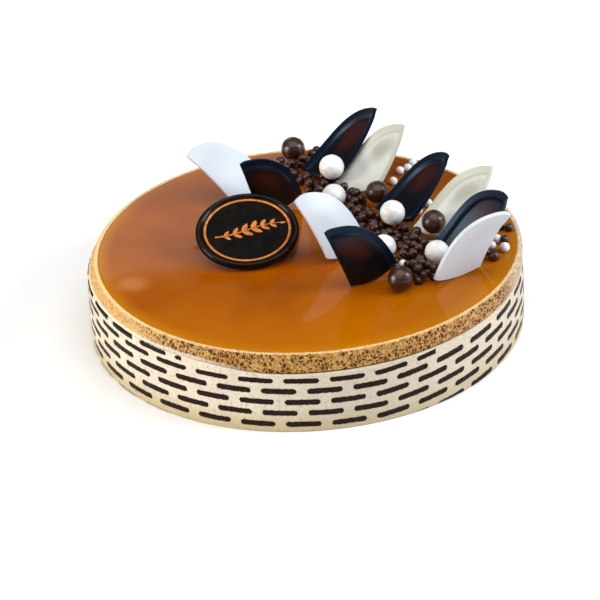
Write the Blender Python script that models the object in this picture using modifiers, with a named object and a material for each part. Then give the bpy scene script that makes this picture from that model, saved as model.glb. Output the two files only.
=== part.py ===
"""Caramel mousse torte: a round entremets with a printed sponge band and a mirror glaze, and on its top
moulded chocolate petals, chocolate balls, small pearls and an oval chocolate plaque.

Sizes are in millimetres until MM turns them into metres. X runs to the right of the cake's front, Y to its
back and Z up. The origin is the middle of the base, on the surface that the cake stands on.
"""

import math
import random

import bmesh
import bpy
from mathutils import Matrix, Vector

MM = 0.001
GAP = 0.3  # left between pieces that touch

# The cake: a ring lined with a strip of sponge, filled with mousse and glazed
CAKE_RADIUS = 110.0
CAKE_TOP = 42.3
BAND_HEIGHT = 32.2
BAND_THICKNESS = 5.0
BAND_BELLY = 0.5  # how far the band swells at half height
BAND_ROUNDING = 0.7
BAND_RISE = 3.2  # how much higher the band stands at the left
BAND_RISE_START = -15.0  # the x at which it begins to rise
BAND_RISE_END = -65.0  # and at which it is at its full height
MOUSSE_INSET = 1.6  # at its head the mousse's wall is this much smaller than the band's
MOUSSE_FOOT_INSET = 0.8
TOP_SHIFT = 1.6  # and its head and the glaze stand this far to the right of the band
MOUSSE_BELLY = 0.6  # how far that wall swells, a little above the band
MOUSSE_BELLY_RISE = 3.0
LIP_WIDTH = 2.8  # mousse that shows round the glaze
LIP_ROUNDING = 2.0
LIP_DROP = 0.3  # from the lip's crest to where the glaze begins
LIP_SLANT = 0.1
GLAZE_DEPTH = 1.2
GLAZE_ROUNDING = 0.6
ROUND_STEPS = 60
SWELLS = ((0.5, 2, 0.83), (0.35, 3, 0.4), (0.25, 1, 3.14))  # out of round: size, waves round the cake, phase
AXIS_ZONE = 1.0  # nothing so near the axis is pushed out of round

# Moulded petals: a three-cornered sail with one long convex edge, slightly dished
PETAL_BASE = 27.0  # from the back corner to the heel
PETAL_REACH = 22.2  # the tip's distance sideways from the middle of the base
PETAL_LENGTH = 36.4
PETAL_THICKNESS = 1.8
PETAL_BULGES = {"long edge": 9.9, "base": 3.0, "inner edge": 0.25}
PETAL_HOOK = 0.37  # how much fuller the long edge is near the tip than near the back corner
PETAL_TIP_SHARE = 0.05  # of the long edge, for each millimetre by which the tip is rounded off
PETAL_HEEL_ROUNDING = 1.6
PETAL_DISH_RADIUS = 90.0
PETAL_DISH_MIDDLE = (0.35, 0.42)  # shares of the reach and of the length
PETAL_RIM_RISE = 1.0
PETAL_RIM_ROWS = 2  # rows of the grid that make the raised rim along the long edge
PETAL_ROWS = (0.0, 0.09, 0.13, 0.30, 0.53, 0.77, 1.0)  # from the long edge to the heel
PETAL_STEPS = 10  # along the long edge

# Each petal: chocolate, x, y, height of its base's middle over the glaze, then the turn of its base about Z,
# the lean back from upright and the rock within its own plane in degrees, then its width and length factors
# and by how much its tip is rounded off
PETALS = (
    ("white", -24.0, 54.5, 4.5, -143, -32, -11, 1.00, 1.00, 2.2),
    ("dark", -9.5, 36.5, 3.2, -151, 13, -5, 1.00, 1.00, 1.2),
    ("white", 23.0, -15.5, 4.2, -143, -20, 0, 1.00, 0.97, 2.4),
    ("dark", 35.0, -43.0, 3.5, -153, 6, -8, 1.02, 1.00, 1.2),
    ("dark", 13.0, 69.0, 2.8, -62, 41, 12, 1.00, 1.14, 0.3),
    ("white", 31.0, 53.0, 2.8, -52, 38, 14, 1.00, 0.97, 0.6),
    ("dark", 49.0, 18.5, 3.0, -62, 40, 12, 1.00, 1.06, 1.6),
    ("white", 69.5, -0.5, 2.4, -46, 42, 11, 1.02, 1.02, 0.6),
    ("dark", 78.5, -19.0, 2.9, -46, 23, -2, 1.00, 1.00, 1.8),
    ("white", 73.5, -41.0, 4.1, 24, -16, -6, 1.00, 1.00, 2.0),
)

# Each ball: x, y, height of its centre over the glaze, radius
DARK_BALLS = (
    (-2.5, 94.5, 6.8, 6.4),
    (39.5, 36.5, 8.5, 6.0),
    (66.0, -3.5, 11.0, 6.1),
    (46.5, -52.0, 6.8, 6.4),
    (-28.3, 6.5, 6.8, 6.4),  # props the plaque
)
WHITE_BALLS = (
    (17.0, 56.0, 14.5, 6.5),
    (17.0, 38.5, 6.7, 6.3),
    (46.0, 9.5, 10.5, 6.4),
    (66.0, -27.5, 6.6, 6.2),
    (40.0, -18.5, 6.6, 6.2),
)
BALL_SEGMENTS = 14
BALL_RINGS = 8

# Oval plaque, leaning back
PLAQUE_WIDTH = 52.3
PLAQUE_HEIGHT = 46.4
PLAQUE_THICKNESS = 4.0
PLAQUE_RIM_WIDTH = 3.2
PLAQUE_RIM_FOOT = 0.4  # the rim's inner side slants by this
PLAQUE_BACK_ROUNDING = 1.0
PLAQUE_SINK = 1.1  # depth of the field inside the rim
PLAQUE_PLACE = (-27.8, -3.6, 11.9)
PLAQUE_SLOPE = 24.3  # of its face from level
PLAQUE_TURN = 2.6
PLAQUE_STEPS = 44

# Small pearls that lie on the glaze and on each other. Each loose one: x, y, radius
PEARL_SINK = 0.6  # how far a pearl is pressed into what it lies on
PEARL_SIDES = 6
PEARL_RINGS = 3
PEARL_FACET_GROWTH = 1.12  # makes a pearl with few faces as large on average as a round one
PEARL_SPIN = (0.3, 0.2)  # turns each pearl's facets by its place, so that no two look alike
WHITE_PEARLS = (
    (-9.5, 88.0, 2.2),
    (48.8, 60.5, 2.3),
    (53.0, 72.0, 2.3),
    (57.3, 74.6, 2.3),
    (60.1, 80.3, 2.3),
    (59.8, 26.5, 2.4),
    (65.5, 33.6, 2.3),
    (57.6, 4.6, 2.2),
    (58.4, -6.4, 2.2),
    (48.8, -28.6, 2.3),
    (97.3, -8.7, 2.4),
    (94.0, -15.1, 2.4),
    (100.3, -18.4, 2.7),
)
DARK_PEARLS = (
    (104.4, 2.4, 2.4),
    (100.2, 4.6, 2.2),
    (97.2, 9.4, 2.2),
    (101.0, -10.6, 2.4),
    (94.2, -27.0, 2.9),
    (91.2, -21.0, 2.0),
    (66.0, -3.5, 2.4),
    (62.5, -7.5, 2.3),
    (64.5, 1.0, 2.3),
    (7.4, 97.4, 2.4),
    (10.0, 101.5, 2.3),
)
HEAP_PATH = ((-5, 86), (6, 70), (19, 50), (31, 32), (40, 14), (49, -2), (52, -18), (54, -34), (57, -46))
HEAP_HALF_WIDTH = 10.0
HEAP_TRIES = 1500
HEAP_COUNT = 96
HEAP_RADII = (2.1, 2.7)
HEAP_TOPS = (2.5, 7.5)  # the highest that a pearl's centre lies over the glaze, first in the lower layer
HEAP_SEED = 7
BALL_CLEARANCE = 0.5
PETAL_CLEARANCE = 0.8  # more than from a ball, because the petals are sampled at points
PLAQUE_CLEARANCE = 0.6

# Linear base colour, roughness
LOOKS = {
    "mousse": ((0.42, 0.24, 0.10), 0.85),
    "sponge": ((0.62, 0.48, 0.29), 0.85),
    "glaze": ((0.42, 0.13, 0.01), 0.12),
    "dark": ((0.035, 0.016, 0.012), 0.25),
    "white": ((0.78, 0.72, 0.60), 0.35),
}


def look(name):
    """One object's own material."""
    colour, roughness = LOOKS[name]
    material = bpy.data.materials.new(name)
    material.use_nodes = True
    shader = material.node_tree.nodes["Principled BSDF"]
    shader.inputs["Base Color"].default_value = (*colour, 1.0)
    shader.inputs["Roughness"].default_value = roughness
    shader.inputs["Metallic"].default_value = 0.0
    return material


def keep(obj, name, look_name, collection):
    """Names an object, gives it its material and files it in one collection."""
    obj.name = name
    obj.data.name = name
    obj.data.materials.clear()
    obj.data.materials.append(look(look_name))
    for other in list(obj.users_collection):
        other.objects.unlink(obj)
    collection.objects.link(obj)
    return obj


def applied(obj):
    """Replaces an object's mesh by the one that its modifiers make."""
    graph = bpy.context.evaluated_depsgraph_get()
    mesh = bpy.data.meshes.new_from_object(obj.evaluated_get(graph))
    obj.modifiers.clear()
    obj.data = mesh
    return obj


def unevenness(angle):
    """How far the cake's side stands out of round at an angle, in millimetres: fuller at the left."""
    return sum(size * math.cos(waves * angle + phase) for size, waves, phase in SWELLS)


def turned(profile, steps=ROUND_STEPS):
    """A solid of revolution from (radius, height) points that run down its outer side."""
    mesh = bpy.data.meshes.new("profile")
    points = [(radius * MM, 0.0, height * MM) for radius, height in profile]
    edges = [(i, i + 1) for i in range(len(points) - 1)]
    if profile[0][0] > 0.0:
        edges.append((len(points) - 1, 0))
    mesh.from_pydata(points, edges, [])
    obj = bpy.data.objects.new("turned", mesh)
    bpy.context.scene.collection.objects.link(obj)
    screw = obj.modifiers.new("turn", "SCREW")
    screw.axis = "Z"
    screw.steps = steps
    screw.render_steps = steps
    screw.use_merge_vertices = True
    screw.merge_threshold = 0.0001
    return applied(obj)


def out_of_round(obj):
    """Pushes every point of a turned solid outward by the cake's unevenness, except near the axis."""
    for vertex in obj.data.vertices:
        radius = math.hypot(vertex.co.x, vertex.co.y)
        if radius > AXIS_ZONE * MM:
            swell = 1.0 + unevenness(math.atan2(vertex.co.y, vertex.co.x)) * MM / radius
            vertex.co.x *= swell
            vertex.co.y *= swell
    return obj


def band_rise(x):
    """How much higher than elsewhere the band's edge stands at an x, all in metres."""
    share = (x / MM - BAND_RISE_START) / (BAND_RISE_END - BAND_RISE_START)
    share = max(0.0, min(1.0, share))
    return BAND_RISE * MM * share * share * (3.0 - 2.0 * share)


def corner(radius, height, rounding, turn_from, turn_to, steps=4):
    """Points of a rounded corner of a profile, about the centre (radius, height)."""
    angles = [math.radians(turn_from + (turn_to - turn_from) * i / steps) for i in range(steps + 1)]
    return [(radius + rounding * math.cos(a), height + rounding * math.sin(a)) for a in angles]


def mousse_body():
    """The mousse fills the ring: inside the band, and out to the cake's wall above it."""
    wall = CAKE_RADIUS - MOUSSE_INSET
    inside = CAKE_RADIUS - BAND_THICKNESS - GAP
    floor_of_glaze = CAKE_TOP - GLAZE_DEPTH - GAP
    lip_inner = wall - LIP_WIDTH
    profile = [(0.0, floor_of_glaze), (lip_inner, floor_of_glaze)]
    profile += [(lip_inner + LIP_SLANT, CAKE_TOP - LIP_DROP)]
    profile += corner(wall - LIP_ROUNDING, CAKE_TOP - LIP_ROUNDING, LIP_ROUNDING, 90, 0, 3)
    foot = BAND_HEIGHT + GAP
    profile += [(wall + MOUSSE_BELLY, foot + MOUSSE_BELLY_RISE), (CAKE_RADIUS - MOUSSE_FOOT_INSET, foot)]
    profile += [(inside, foot), (inside, 0.0), (0.0, 0.0)]
    mousse = out_of_round(turned(profile))
    for vertex in mousse.data.vertices:
        share = (vertex.co.z / MM - foot) / (CAKE_TOP - LIP_ROUNDING - foot)
        if vertex.co.z > (foot - GAP) * MM:
            vertex.co.z += band_rise(vertex.co.x) * max(0.0, 1.0 - share)
            vertex.co.x += TOP_SHIFT * MM * max(0.0, min(1.0, share))
    return mousse


def sponge_band():
    """The strip of sponge that lines the ring, with soft edges and a slight belly."""
    inside = CAKE_RADIUS - BAND_THICKNESS
    edge = CAKE_RADIUS - BAND_ROUNDING
    profile = [(inside, BAND_HEIGHT)]
    profile += corner(edge, BAND_HEIGHT - BAND_ROUNDING, BAND_ROUNDING, 90, 0, 2)
    profile += [(CAKE_RADIUS + BAND_BELLY, BAND_HEIGHT * 0.5)]
    profile += corner(edge, BAND_ROUNDING, BAND_ROUNDING, 0, -90, 2)
    profile += [(inside, 0.0)]
    band = out_of_round(turned(profile))
    for vertex in band.data.vertices:
        vertex.co.z *= 1.0 + band_rise(vertex.co.x) / (BAND_HEIGHT * MM)
    return band


def glaze_disc():
    """The mirror glaze, set inside the mousse's lip, its edge rounded."""
    radius = CAKE_RADIUS - MOUSSE_INSET - LIP_WIDTH - GAP
    profile = [(0.0, CAKE_TOP)]
    profile += corner(radius - GLAZE_ROUNDING, CAKE_TOP - GLAZE_ROUNDING, GLAZE_ROUNDING, 90, 0, 2)
    profile += [(radius, CAKE_TOP - GLAZE_DEPTH), (0.0, CAKE_TOP - GLAZE_DEPTH)]
    disc = out_of_round(turned(profile))
    disc.data.transform(Matrix.Translation((TOP_SHIFT * MM, 0.0, 0.0)))
    return disc


def arc_point(start, end, bulge, along, hook=0.0):
    """A point of a shallow arc from start to end, which stands off its chord by bulge at the middle.

    A hook above zero makes it fuller near its start and flatter near its end.
    """
    chord = end - start
    outward = Vector((chord.y, -chord.x)).normalized()
    rise = 4.0 * bulge * along * (1.0 - along) * (1.0 + hook * (1.0 - 2.0 * along))
    return start + chord * along + outward * rise


def petal_point(along, across, width, length, tip_rounding):
    """A point of a petal's middle surface, in millimetres, in the frame of its own plane.

    along runs down the long edge from the tip to the back corner, and across from that edge to the heel.
    """
    tip = Vector((PETAL_REACH * width, PETAL_LENGTH * length))
    back = Vector((-0.5 * PETAL_BASE * width, 0.0))
    heel = Vector((0.5 * PETAL_BASE * width, 0.0))
    edge = arc_point(tip, back, PETAL_BULGES["long edge"], along, PETAL_HOOK)
    past_tip = max(0.0, 1.0 - along / (PETAL_TIP_SHARE * tip_rounding))
    edge += (heel - tip).normalized() * tip_rounding * past_tip**2
    toward_tip = heel + (tip - heel).normalized() * PETAL_HEEL_ROUNDING
    toward_back = heel + (back - heel).normalized() * PETAL_HEEL_ROUNDING
    rounded_heel = arc_point(toward_back, toward_tip, 0.5 * PETAL_HEEL_ROUNDING, 1.0 - along)
    flat = edge.lerp(rounded_heel, across)
    swell = 4.0 * across * (1.0 - across)
    base_side = Vector((0.0, -1.0)) * PETAL_BULGES["base"] * along**3
    inner_side = Vector((1.0, 0.0)) * PETAL_BULGES["inner edge"] * (1.0 - along) ** 3
    flat += (base_side + inner_side) * swell
    dish_x = PETAL_DISH_MIDDLE[0] * PETAL_REACH * width
    dish_y = PETAL_DISH_MIDDLE[1] * PETAL_LENGTH * length
    dish = (flat - Vector((dish_x, dish_y))).length_squared / (2.0 * PETAL_DISH_RADIUS)
    return Vector((flat.x, flat.y, dish))


def petal_mesh(rock, width, length, tip_rounding):
    """The petal as a grid drawn into its outline, with a raised rim, then thickened to both sides alike."""
    bpy.ops.mesh.primitive_grid_add(x_subdivisions=PETAL_STEPS, y_subdivisions=len(PETAL_ROWS) - 1, size=2.0)
    obj = bpy.context.active_object
    for vertex in obj.data.vertices:
        along = 0.5 * (vertex.co.x + 1.0)
        row = round(0.5 * (vertex.co.y + 1.0) * (len(PETAL_ROWS) - 1))
        point = petal_point(along, PETAL_ROWS[row], width, length, tip_rounding)
        if row < PETAL_RIM_ROWS:
            point.z += PETAL_RIM_RISE * (1.0 - 0.5 * along)
        vertex.co = point * MM
    obj.data.transform(Matrix.Rotation(math.radians(rock), 4, "Z"))
    surface = bmesh.new()
    surface.from_mesh(obj.data)
    bmesh.ops.triangulate(surface, faces=surface.faces)
    bmesh.ops.recalc_face_normals(surface, faces=surface.faces)
    surface.to_mesh(obj.data)
    surface.free()
    solidify = obj.modifiers.new("thickness", "SOLIDIFY")
    solidify.thickness = PETAL_THICKNESS * MM
    solidify.offset = 0.0
    return applied(obj)


def petal_placing(petal):
    """The matrix that stands a petal of the list on the cake."""
    _, x, y, height, turn, lean, *_ = petal
    place = Matrix.Translation(Vector((x, y, CAKE_TOP + height)) * MM)
    facing = Matrix.Rotation(math.radians(turn), 4, "Z")
    return place @ facing @ Matrix.Rotation(math.radians(90.0 - lean), 4, "X")


def petal_samples():
    """Points spread over every petal's middle surface, in metres, for keeping pearls clear of them."""
    samples = []
    for petal in PETALS:
        rock, width, length, tip_rounding = petal[6:]
        stand = petal_placing(petal) @ Matrix.Rotation(math.radians(rock), 4, "Z")
        for i in range(19):
            for j in range(13):
                samples.append(stand @ (petal_point(i / 18, j / 12, width, length, tip_rounding) * MM))
    return samples


def sphere(x, y, z, radius, segments, rings):
    bpy.ops.mesh.primitive_uv_sphere_add(
        segments=segments, ring_count=rings, radius=radius * MM, location=(x * MM, y * MM, z * MM)
    )
    return bpy.context.active_object


def plaque_frame():
    """The plaque's own frame: X along its width, Y up its face, Z out of its face."""
    place = Matrix.Translation(Vector((PLAQUE_PLACE[0], PLAQUE_PLACE[1], CAKE_TOP + PLAQUE_PLACE[2])) * MM)
    turn = Matrix.Rotation(math.radians(PLAQUE_TURN), 4, "Z")
    return place @ turn @ Matrix.Rotation(math.radians(PLAQUE_SLOPE), 4, "X")


def plaque():
    """An oval medallion: a turned disc with a thick rounded rim, drawn narrower to an oval."""
    radius = 0.5 * PLAQUE_WIDTH
    half = 0.5 * PLAQUE_THICKNESS
    field = half - PLAQUE_SINK
    rim_middle = radius - 0.5 * PLAQUE_RIM_WIDTH
    profile = [(0.0, field), (radius - PLAQUE_RIM_WIDTH - PLAQUE_RIM_FOOT, field)]
    profile += corner(rim_middle, half - 0.5 * PLAQUE_RIM_WIDTH, 0.5 * PLAQUE_RIM_WIDTH, 150, 0, 5)
    back = PLAQUE_BACK_ROUNDING
    profile += corner(radius - back, back - half, back, 0, -90, 2)
    profile += [(0.0, -half)]
    obj = turned(profile, PLAQUE_STEPS)
    obj.data.transform(Matrix.Diagonal((1.0, PLAQUE_HEIGHT / PLAQUE_WIDTH, 1.0, 1.0)))
    obj.matrix_world = plaque_frame()
    return obj


def along_path(share):
    """The point at a share of the heap's path, and the direction across the path there."""
    place = share * (len(HEAP_PATH) - 1)
    index = min(int(place), len(HEAP_PATH) - 2)
    start = Vector(HEAP_PATH[index])
    end = Vector(HEAP_PATH[index + 1])
    across = Vector((end.y - start.y, start.x - end.x)).normalized()
    return start.lerp(end, place - index), across


def pearl_rest(x, y, radius, placed):
    """The height at which a pearl dropped at (x, y) comes to rest on the glaze or on the others."""
    height = CAKE_TOP + radius - PEARL_SINK
    for other_x, other_y, other_z, other_radius in placed:
        reach = radius + other_radius - PEARL_SINK
        level = (x - other_x) ** 2 + (y - other_y) ** 2
        if level < reach * reach:
            height = max(height, other_z + math.sqrt(reach * reach - level))
    return height


def pearl_heap():
    """All the pearls as (x, y, z, radius): the loose ones, then those dropped along the heap's path."""
    draw = random.Random(HEAP_SEED)
    petals = [sample / MM for sample in petal_samples()]
    balls = [Vector((x, y, CAKE_TOP + z)) for x, y, z, _ in DARK_BALLS + WHITE_BALLS]
    ball_radii = [ball[3] for ball in DARK_BALLS + WHITE_BALLS]
    plaque_inverse = plaque_frame().inverted()

    def is_clear(centre, radius):
        keep_off = radius + 0.5 * PETAL_THICKNESS + PETAL_CLEARANCE
        if any((centre - sample).length < keep_off for sample in petals):
            return False
        for ball, ball_radius in zip(balls, ball_radii):
            if (centre - ball).length < ball_radius + radius + BALL_CLEARANCE:
                return False
        local = plaque_inverse @ (centre * MM) / MM
        margin = radius + PLAQUE_CLEARANCE
        oval = math.hypot(local.x / (0.5 * PLAQUE_WIDTH + margin), local.y / (0.5 * PLAQUE_HEIGHT + margin))
        return oval > 1.0 or abs(local.z) > 0.5 * PLAQUE_THICKNESS + margin

    placed = []
    for x, y, radius in WHITE_PEARLS + DARK_PEARLS:
        z = pearl_rest(x, y, radius, placed)
        if is_clear(Vector((x, y, z)), radius):
            placed.append((x, y, z, radius))
    loose = len(placed)
    for top in HEAP_TOPS:
        for _ in range(HEAP_TRIES):
            middle, across = along_path(draw.random())
            spot = middle + across * HEAP_HALF_WIDTH * draw.uniform(-1.0, 1.0)
            radius = draw.uniform(*HEAP_RADII)
            z = pearl_rest(spot.x, spot.y, radius, placed)
            if len(placed) - loose == HEAP_COUNT:
                break
            if z < CAKE_TOP + top and is_clear(Vector((spot.x, spot.y, z)), radius):
                placed.append((spot.x, spot.y, z, radius))
    return placed


def fuse_pearls(disc, pearls):
    """Joins the pearls to the glaze that they lie on, as one solid."""
    grains = bpy.data.collections.new("pearls")
    bpy.context.scene.collection.children.link(grains)
    for x, y, z, radius in pearls:
        pearl = sphere(x, y, z, radius * PEARL_FACET_GROWTH, PEARL_SIDES, PEARL_RINGS)
        pearl.rotation_euler = (PEARL_SPIN[0] * x, PEARL_SPIN[1] * y, x + y)
        for other in list(pearl.users_collection):
            other.objects.unlink(pearl)
        grains.objects.link(pearl)
    bpy.context.view_layer.update()
    union = disc.modifiers.new("pearls", "BOOLEAN")
    union.operation = "UNION"
    union.operand_type = "COLLECTION"
    union.collection = grains
    union.solver = "EXACT"
    applied(disc)
    for pearl in list(grains.objects):
        bpy.data.objects.remove(pearl)
    bpy.data.collections.remove(grains)
    return disc


def smooth(obj, angle=40.0):
    obj.data.shade_smooth()
    obj.data.set_sharp_from_angle(angle=math.radians(angle))


def build():
    for obj in list(bpy.data.objects):
        bpy.data.objects.remove(obj)
    torte = bpy.data.collections.new("caramel_mousse_torte")
    bpy.context.scene.collection.children.link(torte)

    smooth(keep(mousse_body(), "mousse", "mousse", torte))
    smooth(keep(sponge_band(), "sponge_band", "sponge", torte))
    smooth(keep(fuse_pearls(glaze_disc(), pearl_heap()), "glaze", "glaze", torte))
    smooth(keep(plaque(), "plaque", "dark", torte))
    for number, petal in enumerate(PETALS, 1):
        obj = keep(petal_mesh(*petal[6:]), f"petal_{number:02d}", petal[0], torte)
        obj.matrix_world = petal_placing(petal)
        smooth(obj)
    for chocolate, balls in (("dark", DARK_BALLS), ("white", WHITE_BALLS)):
        for number, (x, y, height, radius) in enumerate(balls, 1):
            ball = sphere(x, y, CAKE_TOP + height, radius, BALL_SEGMENTS, BALL_RINGS)
            smooth(keep(ball, f"{chocolate}_ball_{number}", chocolate, torte), 80.0)


build()
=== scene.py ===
# %% [markdown]
# # A caramel mousse torte
#
# The real cake is an entremets: a metal ring is lined with a strip of printed sponge, filled with caramel
# mousse, frozen, and glazed. Moulded chocolate petals, balls and pearls go on top, with an oval plaque.
# This notebook dresses a CAD model of it. The CAD model is loaded first and is never moved, so every piece
# made here goes straight to its final place, in metres, with Z up and the cake's front towards -Y.

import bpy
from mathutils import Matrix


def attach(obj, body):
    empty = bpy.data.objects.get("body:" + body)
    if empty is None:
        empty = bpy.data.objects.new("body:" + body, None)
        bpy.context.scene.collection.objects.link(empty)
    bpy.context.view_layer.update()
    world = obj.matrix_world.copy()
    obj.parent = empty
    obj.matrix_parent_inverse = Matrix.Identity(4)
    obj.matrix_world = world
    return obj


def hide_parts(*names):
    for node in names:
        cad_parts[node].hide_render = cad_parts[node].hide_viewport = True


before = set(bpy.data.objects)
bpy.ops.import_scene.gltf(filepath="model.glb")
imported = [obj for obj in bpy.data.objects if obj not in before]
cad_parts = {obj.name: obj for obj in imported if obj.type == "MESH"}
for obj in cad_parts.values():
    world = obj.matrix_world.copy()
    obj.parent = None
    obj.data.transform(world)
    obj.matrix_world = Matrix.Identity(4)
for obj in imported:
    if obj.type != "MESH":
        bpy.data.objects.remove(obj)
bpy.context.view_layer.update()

# %% Modules, and the unit that a pastry chef would use
import math
import random

import bpy
from mathutils import Matrix, Vector, noise

MM = 0.001

# %% [markdown]
# ## The camera
#
# The picture was taken with a long lens from a little over a metre and a half, looking down by 30 degrees.
# A camera could be aimed with a constraint, but a matrix keeps the small pan, tilt and roll of a camera held
# by hand, so it is built here from one move back along the line of sight and three small turns.

# %% Camera
EYE_DISTANCE = 1.538631
EYE_ELEVATION = 30.201
PAN, TILT, ROLL = 0.13, 0.338, -3.403
LENS, SENSOR = 180.0, 36.0

bpy.ops.object.camera_add()
camera = bpy.context.active_object
camera.name = "studio_camera"
camera.data.lens = LENS
camera.data.sensor_width = SENSOR
camera.data.clip_start = 0.01
rise = math.radians(EYE_ELEVATION)
camera.matrix_world = (
    Matrix.Translation((0.0, -EYE_DISTANCE * math.cos(rise), EYE_DISTANCE * math.sin(rise)))
    @ Matrix.Rotation(math.radians(90.0) - rise, 4, "X")
    @ Matrix.Rotation(math.radians(PAN), 4, "Y")
    @ Matrix.Rotation(math.radians(TILT), 4, "X")
    @ Matrix.Rotation(math.radians(ROLL), 4, "Z")
)
bpy.context.scene.camera = camera
print("camera at", tuple(round(c, 3) for c in camera.location))

# %% [markdown]
# ## Materials as sentences
#
# A procedural material is a graph of nodes. Drawn by hand it is easy to read, but as code it soon becomes
# a list of links. So two small classes are made first. A Socket is one output of a node, and arithmetic on
# it adds Math nodes. A Finish is one material: its node method adds any node in one line, and its other
# methods name what is wanted often, such as clouds, bubbles, or one colour laid over another.

# %% Colours as a picker shows them
def paint(red, green, blue):
    """A colour as a colour picker shows it, 0 to 255, turned into the linear light that a shader needs."""
    shares = (max(0.0, channel) / 255.0 for channel in (red, green, blue))
    return (*(s / 12.92 if s <= 0.04045 else ((s + 0.055) / 1.055) ** 2.4 for s in shares), 1.0)


print("picker's mid grey is linear", round(paint(128, 128, 128)[0], 3))

# %% A socket that can be added, multiplied and raised to a power
class Socket:
    """One output of a node. Sums and products of it become Math nodes."""

    def __init__(self, finish, output):
        self.finish = finish
        self.output = output

    def math(self, operation, *values):
        """Adds any Math node."""
        return self.finish.node("ShaderNodeMath", {"operation": operation}, dict(enumerate(values)))

    def __add__(self, other):
        return self.math("ADD", self, other)

    def __sub__(self, other):
        return self.math("SUBTRACT", self, other)

    def __rsub__(self, other):
        return self.math("SUBTRACT", other, self)

    def __mul__(self, other):
        return self.math("MULTIPLY", self, other)

    def __pow__(self, other):
        return self.math("POWER", self, other)

    __radd__ = __add__


# %% A material that is written in millimetres
class Finish:
    """One material: its shader, and as "at" the point on the piece in millimetres."""

    def __init__(self, name, constants):
        self.material = bpy.data.materials.new(name)
        self.material.use_nodes = True
        self.nodes = self.material.node_tree.nodes
        self.shader = self.nodes["Principled BSDF"]
        self.feed(self.shader, constants)
        self.at = self.scaled(self.node("ShaderNodeTexCoord", out="Object"), 1.0 / MM)

    def feed(self, node, sockets):
        """Gives a node's sockets their values or links."""
        for socket, value in sockets.items():
            if isinstance(value, Socket):
                self.material.node_tree.links.new(value.output, node.inputs[socket])
            else:
                node.inputs[socket].default_value = value

    def node(self, kind, settings=None, sockets=None, out=0):
        """Adds any node: its settings first, then its sockets. Returns one of its outputs."""
        made = self.nodes.new(kind)
        for setting, value in (settings or {}).items():
            setattr(made, setting, value)
        self.feed(made, sockets or {})
        return Socket(self, made.outputs[out])

    def scaled(self, point, factor):
        """A point, with its three coordinates multiplied by one factor."""
        return self.node("ShaderNodeVectorMath", {"operation": "SCALE"}, {0: point, "Scale": factor})

    def vector(self, operation, first, second, out="Vector"):
        """Arithmetic on two points, coordinate by coordinate."""
        return self.node("ShaderNodeVectorMath", {"operation": operation}, {0: first, 1: second}, out)

    def distance(self, first, second):
        """How far apart two points are."""
        return self.vector("DISTANCE", first, second, "Value")

    def axis(self, letter, point=None):
        """One coordinate of the point on the piece, or of another point."""
        return self.node("ShaderNodeSeparateXYZ", {}, {0: point or self.at}, letter)

    def mapped(self, name):
        """The point in one of the piece's own maps."""
        return self.node("ShaderNodeUVMap", {"uv_map": name})

    def clouds(self, size, detail=2.0, rough=0.5, out=0):
        """Soft noise about 0.5, with patches of about this size."""
        sockets = {"Vector": self.at, "Scale": 1.0 / size, "Detail": detail, "Roughness": rough}
        return self.node("ShaderNodeTexNoise", {}, sockets, out)

    def bubbles(self, size, point=None, feature="F1"):
        """The distance to the nearest of many scattered points, or to the edge between two of them."""
        sockets = {"Vector": point or self.at, "Scale": 1.0 / size}
        return self.node("ShaderNodeTexVoronoi", {"feature": feature}, sockets)

    def ease(self, value, start, end):
        """0 before start, 1 after end, and soft between them."""
        sockets = {"Value": value, "From Min": start, "From Max": end}
        return self.node("ShaderNodeMapRange", {"interpolation_type": "SMOOTHSTEP"}, sockets)

    def blend(self, share, first, second):
        """One colour that turns into another as share goes from 0 to 1."""
        sockets = {0: share, 6: first, 7: second}
        return self.node("ShaderNodeMix", {"data_type": "RGBA"}, sockets, out=2)

    def coats(self, colour, *layers):
        """Lays picker colours over a colour one after another, each with its own share."""
        for share, over in layers:
            colour = self.blend(share, colour, paint(*over))
        return colour

    def relief(self, height, depth):
        """A bump of this depth in millimetres where height goes from 0 to 1."""
        return self.node("ShaderNodeBump", {}, {"Height": height, "Distance": depth * MM})

    def lay(self, **looks):
        """Links the colour, roughness, normal or clear coat to the shader."""
        names = {"colour": "Base Color", "roughness": "Roughness", "normal": "Normal", "coat": "Coat Weight"}
        self.feed(self.shader, {names[look]: value for look, value in looks.items()})
        return self.material


# %% [markdown]
# ## The studio
#
# Food is often shown on plain white, under a large soft light from above, with a cool light at one side and
# a weaker, warmer one opposite. An area light is used for each, because its size sets how soft the shadows
# are and how large the shine on chocolate looks. A small panel low behind the cake is there only to be seen
# in the glaze, as a pale veil over its far half.

# %% Floor
FLOOR_SIZE = 6.0
FLOOR_DROP = 0.1
TOOTH_SIZE = 3.0
PAPER_SHADES = (0.93, 0.93, 0.93, 1.0), (0.95, 0.95, 0.95, 1.0)

bpy.ops.object.select_all(action="DESELECT")
bpy.ops.mesh.primitive_plane_add(size=FLOOR_SIZE, location=(0.0, 0.0, -FLOOR_DROP * MM))
floor = bpy.context.active_object
floor.name = "studio_floor"
paper = Finish("pale_paper", {"Roughness": 0.9, "Specular IOR Level": 0.1})
tooth = paper.clouds(TOOTH_SIZE, detail=3.0)
floor.data.materials.append(paper.lay(colour=paper.blend(tooth, *PAPER_SHADES)))

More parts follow.
